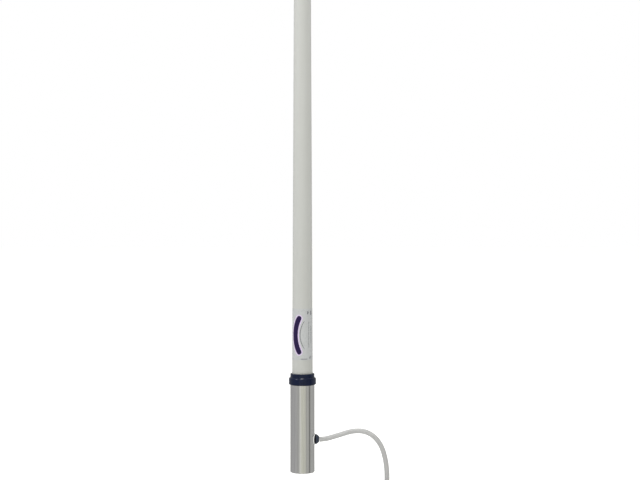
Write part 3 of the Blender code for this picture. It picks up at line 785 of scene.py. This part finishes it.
def arc_band(radius, middle, half_angle, width, taper, steps=90, across=20):
    """Rows across an arched band whose width falls towards both ends, which are rounded."""
    rows = []
    for step in range(steps + 1):
        share = 2 * step / steps - 1
        angle = math.radians(half_angle) * share
        half = width / 2 * (1 - taper * share * share) * math.sqrt(1 - 0.98 * share ** 20)
        row = []
        for spot in range(across + 1):
            reach = radius + half * (1 - 2 * spot / across)
            row.append((middle[0] - reach * math.cos(angle), middle[1] + reach * math.sin(angle)))
        rows.append(row)
    return rows


def dash(sideways, low, high, width):
    """Rows of one upright dash."""
    return [[(sideways - width / 2, height), (sideways + width / 2, height)]
            for height in (low, (low + high) / 2, high)]


def dash_column(sideways, low, high, width):
    """A column of plain dashes of changing length."""
    lengths = (0.0021, 0.0034, 0.0014, 0.0027, 0.0018, 0.0040)
    gap = 0.0007
    dashes = []
    while low < high:
        stop = min(low + lengths[len(dashes) % len(lengths)], high)
        dashes.append(dash(sideways, low, stop, width))
        low = stop + gap
    return dashes


def add_ink(name, bands, ink, faces):
    """Print bands on the film as thin shells between two heights over the whip."""
    build = bmesh.new()
    for band in bands:
        add_band(build, band, *faces)
    add_piece(name, build, ink)


def make_film():
    """Clear sleeve that the print lies on."""
    rings = 12
    outline = []
    for lift, order in ((FILM_FOOT, range(rings + 1)), (FILM_FACE, range(rings, -1, -1))):
        for step in order:
            height = LABEL_FOOT + (LABEL_TOP - LABEL_FOOT) * step / rings
            outline.append((whip_radius(height) + lift, height))
    add_piece("label_film", lathe(outline, 192), FILM, ["whip_label"])


def make_label():
    """Film sleeve with a generic mark of arcs, and plain dashes where the small print is."""
    make_film()
    mark_middle = (0.0326, 0.1696)
    mark_radius = 0.0420
    add_ink("mark_halo", [arc_band(mark_radius, mark_middle, 35.2, 0.0102, 0.16)], LILAC_INK, HALO_FACES)
    add_ink("mark_crescent", [arc_band(mark_radius, mark_middle, 33.6, 0.0074, 0.20)], VIOLET_INK,
            CRESCENT_FACES)
    thin_arc = arc_band(0.0300, (0.0273, 0.1699), 35.0, 0.0008, 0.3)
    add_ink("mark_thin_arc", [thin_arc], GREY_INK, PRINT_FACES)

    prints = dash_column(0.0084, 0.1545, 0.1866, 0.0006) + dash_column(0.0120, 0.1594, 0.1817, 0.0007)
    prints += [dash(0.0068, 0.1952, 0.1988, 0.0011), dash(0.0084, 0.1962, 0.1985, 0.0006),
               dash(0.0120, 0.1942, 0.1995, 0.0016), dash(0.0112, 0.1409, 0.1441, 0.0022),
               dash(0.0095, 0.1409, 0.1420, 0.0008)]
    underline = [-0.0020 + 0.0014 * step for step in range(7)]
    prints.append([[(sideways, height) for sideways in underline] for height in (0.1400, 0.1407)])
    add_ink("label_dashes", prints, GREY_INK, PRINT_FACES)


# ---- lead, tie and plug

def smooth_route(points, steps):
    """Sample a smooth curve through a list of points."""
    spots = [Vector(point) for point in points]
    padded = [2 * spots[0] - spots[1]] + spots + [2 * spots[-1] - spots[-2]]
    samples = []
    for before, start, stop, after in zip(padded, padded[1:], padded[2:], padded[3:]):
        start_handle = start + (stop - before) / 6
        stop_handle = stop - (after - start) / 6
        samples += interpolate_bezier(start, start_handle, stop_handle, stop, steps + 1)[:-1]
    return samples + [spots[-1]]


def coil_points(per_turn=24):
    """The coil's turns, from the outside of the top layer to the outside of the bottom one."""
    swing = COIL_TURNS_PER_LAYER * LEAD_DIAMETER / 2
    step_down = 0.6                  # turns that the lead takes to reach the layer below
    points = []
    for step in range(1, round(COIL_LAYERS * COIL_TURNS_PER_LAYER * per_turn)):
        turn = step / per_turn
        fold = abs(turn / COIL_TURNS_PER_LAYER % 2 - 1)
        radius = COIL_MEAN_RADIUS - swing + 2 * swing * fold
        layer = 0.0
        for change in range(1, COIL_LAYERS):
            share = min(max((turn - change * COIL_TURNS_PER_LAYER) / step_down + 0.5, 0.0), 1.0)
            layer += share * share * (3 - 2 * share)
        angle = math.tau * turn
        points.append((COIL_CENTRE[0] + radius * math.cos(angle),
                       COIL_CENTRE[1] + radius * math.sin(angle),
                       COIL_FOOT + (COIL_LAYERS - 0.5 - layer) * LEAD_DIAMETER))
    return points


def make_lead():
    """The whole lead as one open spline: its run from the gland, its coil and its tail."""
    curve = bpy.data.curves.new("lead", "CURVE")
    curve.dimensions = "3D"
    curve.bevel_depth = LEAD_DIAMETER / 2
    curve.bevel_resolution = 6
    curve.use_fill_caps = True
    curve.materials.append(JACKET)
    points = smooth_route(RUN_ROUTE + coil_points() + TAIL_ROUTE, 3)
    spline = curve.splines.new("POLY")
    spline.points.add(len(points) - 1)
    for spot, point in zip(spline.points, points):
        spot.co = (*point, 1.0)
    spline.use_smooth = True
    lead = add_object("lead", curve)
    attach(lead, ANTENNA)
    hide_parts("cable_run", "cable_coil", "cable_tail")
    return lead


def strap_rows(low, high):
    """Places round the coil's section: a corner's centre and the angle outwards from it."""
    spread = COIL_TURNS_PER_LAYER * LEAD_DIAMETER / 2
    slack = 0.0004
    near = COIL_MEAN_RADIUS - spread - slack
    far = COIL_MEAN_RADIUS + spread
    path = []
    steps = 8
    for centre, start in (((near, low), 180), ((far, low), 270), ((far, high), 0), ((near, high), 90)):
        for step in range(steps + 1):
            path.append((centre, start + 90 * step / steps))
    rows = []
    for (centre, angle), (following, _) in zip(path, path[1:] + path[:1]):
        rows.append((centre, angle))
        teeth = round(math.dist(centre, following) / TIE_TOOTH_LENGTH)
        rows += [(spot, angle) for spot in fill(centre, following, teeth - 1)]
    return rows


def make_strap(low, high):
    """Strap whose middle carries teeth between two smooth rims."""
    half = TIE_WIDTH / 2
    rim = 0.0012
    side_points = [(half - EDGE, 0.0), (half, EDGE), (half, TIE_THICKNESS - EDGE),
                   (half - EDGE, TIE_THICKNESS), (half - rim, TIE_THICKNESS), (half - rim - FINE_EDGE, None)]
    section = side_points + [(-side, lift) for side, lift in reversed(side_points)]
    build = bmesh.new()
    loops = []
    for number, (centre, angle) in enumerate(strap_rows(low, high)):
        tooth = TIE_THICKNESS - (TIE_TOOTH_HIGH if number % 2 else TIE_TOOTH_LOW)
        loop = []
        for side, lift in section:
            reach = LEAD_DIAMETER / 2 + CLEARANCE + (tooth if lift is None else lift)
            loop.append(build.verts.new((centre[0] + reach * math.cos(math.radians(angle)), side,
                                         centre[1] + reach * math.sin(math.radians(angle)))))
        loops.append(loop)
    for loop, following in zip(loops, loops[1:] + loops[:1]):
        for spot, start in enumerate(loop):
            after = (spot + 1) % len(loop)
            build.faces.new((start, loop[after], following[after], following[spot]))
    return add_piece("tie_strap", across_coil(build), RUBBER, ["coil_tie"])


def make_tie_head(foot):
    """Locking head with the strap's slot in its top."""
    outwards = COIL_MEAN_RADIUS + TIE_HEAD_OFFSET
    head = block(TIE_HEAD_SIZE, (outwards, 0.0, foot + TIE_HEAD_SIZE[2] / 2), TIE_HEAD_TAPER, ROUND_EDGE)
    lock = add_piece("tie_head", across_coil(head), RUBBER)
    cut(lock, [across_coil(block(TIE_SLOT_SIZE, (outwards, 0.0, foot + TIE_SLOT_RISE)))])
    return lock


def make_tie():
    """A ribbed strap round the coil's section, with its locking head on top."""
    corner = LEAD_DIAMETER / 2
    low = COIL_FOOT + corner
    high = COIL_FOOT + COIL_LAYERS * LEAD_DIAMETER - corner
    strap = make_strap(low, high)
    lock = make_tie_head(high + corner + CLEARANCE + TIE_THICKNESS + 0.00005)
    return [strap, lock]


def knurl_relief(start, stop, rim, depth, count):
    """Diamond knurling round a barrel between two heights."""
    lead_in = 0.0008
    pitch = math.tau * rim / count

    def relief(radius, height, angle):
        if abs(radius - rim) > 1e-6 or not start < height < stop:
            return radius
        fade = min((height - start) / lead_in, (stop - height) / lead_in, 1.0)
        along = height / pitch
        around = angle * count / math.tau
        first = abs((around + along) % 1.0 - 0.5) * 2
        second = abs((around - along) % 1.0 - 0.5) * 2
        return radius - depth * fade * (1 - min(first, second))
    return relief


def make_plug_barrel():
    """Body with fine grooves, four crimp dimples and a notched rim."""
    outline = [(SLIDE_RADIUS, 0.0)]
    outline += corner(PLUG_BARREL_RADIUS, 0.0, ROUND_EDGE, -90, 5)
    for groove in (0.0028, 0.0040, 0.0110):
        outline += [(PLUG_BARREL_RADIUS, groove - EDGE), (PLUG_BARREL_RADIUS - EDGE, groove),
                    (PLUG_BARREL_RADIUS, groove + EDGE)]
    outline += [(PLUG_BARREL_RADIUS, PLUG_FLANGE_START)]
    outline += corner(PLUG_FLANGE_RADIUS, PLUG_FLANGE_START, FINE_EDGE, -90)
    outline += corner(PLUG_FLANGE_RADIUS, PLUG_FACE, EDGE, 0)
    outline += corner(PLUG_RECESS_RADIUS, PLUG_FACE, FINE_EDGE, 90)
    outline += [(PLUG_RECESS_RADIUS, PLUG_RECESS_START), (SLIDE_RADIUS, PLUG_RECESS_START)]
    barrel = add_piece("plug_barrel", along_plug(lathe(outline, 72)), NICKEL, ["plug_body"])
    dimples = 4
    dimple_outline = [(0.0, 0.0049), (0.0011, 0.0049), (0.0013, 0.0070), (0.0, 0.0070)]
    cutters = []
    for number in range(dimples):
        dimple = lay(lathe(dimple_outline, 20), (0.0, 0.0, 0.0), math.pi / 2, "Y")
        cutters.append(along_plug(lay(dimple, (0.0, 0.0, 0.0076), math.tau * number / dimples, "Z")))
    notches = 12
    for number in range(notches):
        notch = block((0.0010, 0.0010, 0.0010), (PLUG_FLANGE_RADIUS - 0.0001, 0.0, PLUG_FACE))
        cutters.append(along_plug(lay(notch, (0.0, 0.0, 0.0), math.tau * number / notches, "Z")))
    cut(barrel, cutters)
    return barrel


def make_plug_insulator():
    """Washer round the pin, with a raised middle."""
    inner = PLUG_PIN_RADIUS + CLEARANCE
    outer = PLUG_RECESS_RADIUS - CLEARANCE
    foot = PLUG_RECESS_START + CLEARANCE
    face = PLUG_FACE + 0.0005
    step_face = face - 0.0004
    outline = [(inner, foot), (outer, foot)] + corner(outer, step_face, FINE_EDGE, 0)
    outline += arc((inner + 0.0009, face - FINE_EDGE), FINE_EDGE, 20, 90, 3)
    outline += [(inner, face)]
    return add_piece("plug_washer", along_plug(lathe(outline, 64)), RESIN, ["plug_insulator"])


def make_plug_pin():
    """Centre pin with a round nose and the solder hole in its tip."""
    nose = 0.0010
    hole = 0.0007
    outline = [(0.0, PLUG_PIN_START), (PLUG_PIN_RADIUS, PLUG_PIN_START)]
    outline += arc((PLUG_PIN_RADIUS - nose, PLUG_PIN_END - nose), nose, 0, 80, 6)
    outline += corner(hole, PLUG_PIN_END, FINE_EDGE, 90)
    outline += [(hole, PLUG_PIN_END - 0.0020), (0.0, PLUG_PIN_END - 0.0024)]
    return add_piece("plug_centre_pin", along_plug(lathe(outline, 48)), NICKEL, ["plug_pin"])


def make_plug_ring():
    """Coupling ring: knurled between two grooves, threaded inside its open end."""
    rounding = 0.0008
    lip_top = PLUG_FLANGE_START - 2 * CLEARANCE
    knurl_start = PLUG_RING_START + 0.0028
    knurl_stop = PLUG_RING_END - 0.0036
    thread_foot = PLUG_FACE + 0.0010
    thread_top = PLUG_RING_END - 0.0004
    groove_floor = PLUG_RING_RADIUS - 0.0005
    outline = [(PLUG_RING_LIP, PLUG_RING_START)]
    outline += corner(PLUG_RING_RADIUS, PLUG_RING_START, rounding, -90, 5)
    outline += [(PLUG_RING_RADIUS, knurl_start - 0.0008), (groove_floor, knurl_start - 0.0005),
                (groove_floor, knurl_start - 0.0001), (PLUG_RING_RADIUS, knurl_start)]
    outline += fill(outline[-1], (PLUG_RING_RADIUS, knurl_stop), 64)
    outline += [(PLUG_RING_RADIUS, knurl_stop), (groove_floor, knurl_stop + 0.0001),
                (groove_floor, knurl_stop + 0.0005), (PLUG_RING_RADIUS, knurl_stop + 0.0008)]
    outline += corner(PLUG_RING_RADIUS, PLUG_RING_END, rounding, 0, 5)
    outline += [(PLUG_RING_BORE + 0.0004, PLUG_RING_END), (PLUG_RING_BORE, thread_top)]
    outline += fill(outline[-1], (PLUG_RING_BORE, thread_foot), 90)
    outline += [(PLUG_RING_BORE, thread_foot), (PLUG_RING_BORE, lip_top), (PLUG_RING_LIP, lip_top)]
    knurl = knurl_relief(knurl_start, knurl_stop, PLUG_RING_RADIUS, 0.0004, 44)
    thread = thread_relief(PLUG_RING_BORE, PLUG_THREAD_DEPTH, PLUG_PITCH, thread_foot, thread_top)

    def relief(radius, height, angle):
        outside = radius > (PLUG_RING_RADIUS + PLUG_RING_BORE) / 2
        return (knurl if outside else thread)(radius, height, angle)
    return add_piece("plug_ring", along_plug(lathe(outline, 176, relief)), NICKEL,
                     ["plug_coupling_ring"], RING_BODY, 50)


def make_strain_relief():
    """Ribbed rubber sleeve, thinner towards the lead."""
    thin = SLIDE_RADIUS + 0.0007
    thick = PLUG_BARREL_RADIUS - 0.0009
    cuff = PLUG_BARREL_RADIUS - 0.0006
    outline = [(SLIDE_RADIUS, BOOT_START)]
    outline += corner(SLIDE_RADIUS + 2 * EDGE, BOOT_START, EDGE, -90, 3)
    ribs = 6
    rib_pitch = 0.0024
    for rib in range(ribs):
        start = BOOT_START + rib_pitch * (rib + 0.5)
        radius = thin + (thick - thin) * (rib + 1) / (ribs + 2)
        outline += [(radius - 0.0004, start), (radius, start + 0.0003),
                    (radius + 0.0001, start + 0.0012), (radius - 0.0003, start + 0.0015)]
    outline += [(thick, -0.0060), (cuff, -0.0020), (cuff, -0.0007), (thick, -CLEARANCE),
                (SLIDE_RADIUS, -CLEARANCE)]
    return add_piece("plug_strain_relief", along_plug(lathe(outline, 56)), RUBBER,
                     ["plug_boot"])


def make_plug():
    return [make_plug_barrel(), make_plug_insulator(), make_plug_pin(), make_plug_ring(),
            make_strain_relief()]


# ---- CAD nodes that stay

def paint_inner_parts():
    """Give every CAD node that stays a procedural material."""
    finishes = [
        (WHITE_NYLON, ["seal_disc", "sleeve_spacer_lower", "sleeve_spacer_upper", "feed_dielectric",
                       "feedpoint_insulator", "end_insulator"]),
        (BRASS, ["decoupling_sleeve", "sleeve_end_disc", "centre_terminal", "lower_radiator",
                 "upper_radiator"]),
        (RUBBER, ["collar_seal", "base_grommet"]), (COPPER, ["braid_ferrule", "phasing_coil"]),
        (NICKEL, ["gland_nut"]), (JACKET, ["feed_cable"]), (RESIN, ["coil_former"]),
        (FOAM, [f"centring_disc_{number}" for number in range(1, 6)]),
    ]
    for material, names in finishes:
        for name in names:
            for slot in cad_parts[name].material_slots:
                slot.material = material


# ---- stage

def make_camera():
    camera = add_object("camera", bpy.data.cameras.new("camera"))
    camera.data.lens = CAMERA_LENS
    camera.data.sensor_width = SENSOR_WIDTH
    camera.data.clip_end = 500.0
    camera.location = CAMERA_PLACE
    camera.rotation_euler = (math.pi / 2, 0.0, 0.0)
    bpy.context.scene.camera = camera


def make_floor():
    """Pale floor that glows softly, less so near the object, so that it stays white."""
    mesh = bpy.data.meshes.new("floor")
    corners = [(FLOOR_REACH * side, FLOOR_REACH * depth, SURFACE)
               for side, depth in ((-1, -1), (1, -1), (1, 1), (-1, 1))]
    mesh.from_pydata(corners, [], [(0, 1, 2, 3)])
    floor = add_object("floor", mesh)
    pale = (0.76, 0.76, 0.75)
    material = new_material("floor", pale, 0.9, 0.0, Specular_IOR_Level=0.0,
                            Emission_Color=(1.0, 1.0, 1.0, 1.0))
    set_colour(material, ramp(material, noise(material, 0.4), shades(pale, 0.99, 1.0)))
    place = add_node(material, "ShaderNodeTexCoord")
    reach = add_node(material, "ShaderNodeVectorMath")
    reach.operation = "LENGTH"
    link(material, place.outputs["Object"], reach.inputs[0])
    glow = map_range(material, reach.outputs["Value"], (0.05, 0.60), (FLOOR_NEAR_GLOW, FLOOR_FAR_GLOW),
                     "SMOOTHSTEP")
    link(material, glow, principled(material).inputs["Emission Strength"])
    mesh.materials.append(material)
    floor.visible_glossy = False


def add_math(owner, operation, first, second):
    """A maths node on two values."""
    added = add_node(owner, "ShaderNodeMath")
    added.operation = operation
    link(owner, first, added.inputs[0])
    link(owner, second, added.inputs[1])
    return added.outputs["Value"]


def switch_rays(world, ray, others, chosen):
    """One light for a kind of ray, and another for all other rays."""
    rays = add_node(world, "ShaderNodeLightPath")
    switch = add_node(world, "ShaderNodeMixShader", Fac=rays.outputs[ray])
    link(world, others, switch.inputs[1])
    link(world, chosen, switch.inputs[2])
    return switch.outputs["Shader"]


def make_world():
    """Plain white behind the object, and a soft room of pale cards for the light itself."""
    world = bpy.data.worlds.new("studio")
    bpy.context.scene.world = world
    world.use_nodes = True
    world.node_tree.nodes.clear()
    place = add_node(world, "ShaderNodeTexCoord")
    split = add_node(world, "ShaderNodeSeparateXYZ", Vector=place.outputs["Generated"])
    towards_camera = add_math(world, "MULTIPLY", split.outputs["Y"], -1.0)
    bearing = add_math(world, "ARCTAN2", split.outputs["X"], towards_camera)
    share = map_range(world, bearing, (-math.pi, math.pi))
    stops = [(degrees / 360 + 0.5, (level, level, level * blue)) for degrees, level, blue in CARD_LEVELS]
    cards = ramp(world, share, stops)
    lights = []
    for levels in (SHINE_LEVELS, DIFFUSE_LEVELS):
        strength = map_range(world, split.outputs["Z"], (0.62, 0.90), levels, "SMOOTHSTEP")
        light = add_node(world, "ShaderNodeBackground", Color=cards, Strength=strength)
        lights.append(light.outputs["Background"])
    lit = switch_rays(world, "Is Diffuse Ray", *lights)
    plain = add_node(world, "ShaderNodeBackground", Color=(1.0, 1.0, 1.0, 1.0))
    shown = switch_rays(world, "Is Camera Ray", lit, plain.outputs["Background"])
    add_node(world, "ShaderNodeOutputWorld", Surface=shown)


def make_light(name, place, aim, size, power):
    """Round area light turned towards a point."""
    lamp = bpy.data.lights.new(name, "AREA")
    lamp.shape = "DISK"
    lamp.size = size
    lamp.energy = power
    light = add_object(name, lamp)
    light.location = place
    light.rotation_euler = (Vector(aim) - Vector(place)).to_track_quat("-Z", "Y").to_euler()


def make_stage():
    make_floor()
    make_world()
    make_light("key", place=(-3.2, -2.0, 3.0), aim=(0.0, 0.0, 0.6), size=1.6, power=46.0)
    make_light("top_fill", place=(-0.3, -1.0, 8.0), aim=(0.0, 0.0, 1.0), size=2.2, power=240.0)
    bpy.context.scene.view_settings.view_transform = "Standard"


make_camera()
lead = make_lead()
make_ferrule()
make_socket()
make_collar()
make_whip()
make_tip_cap()
make_gland()
make_label()
tie_pieces = make_tie()
plug_pieces = make_plug()
paint_inner_parts()
make_stage()
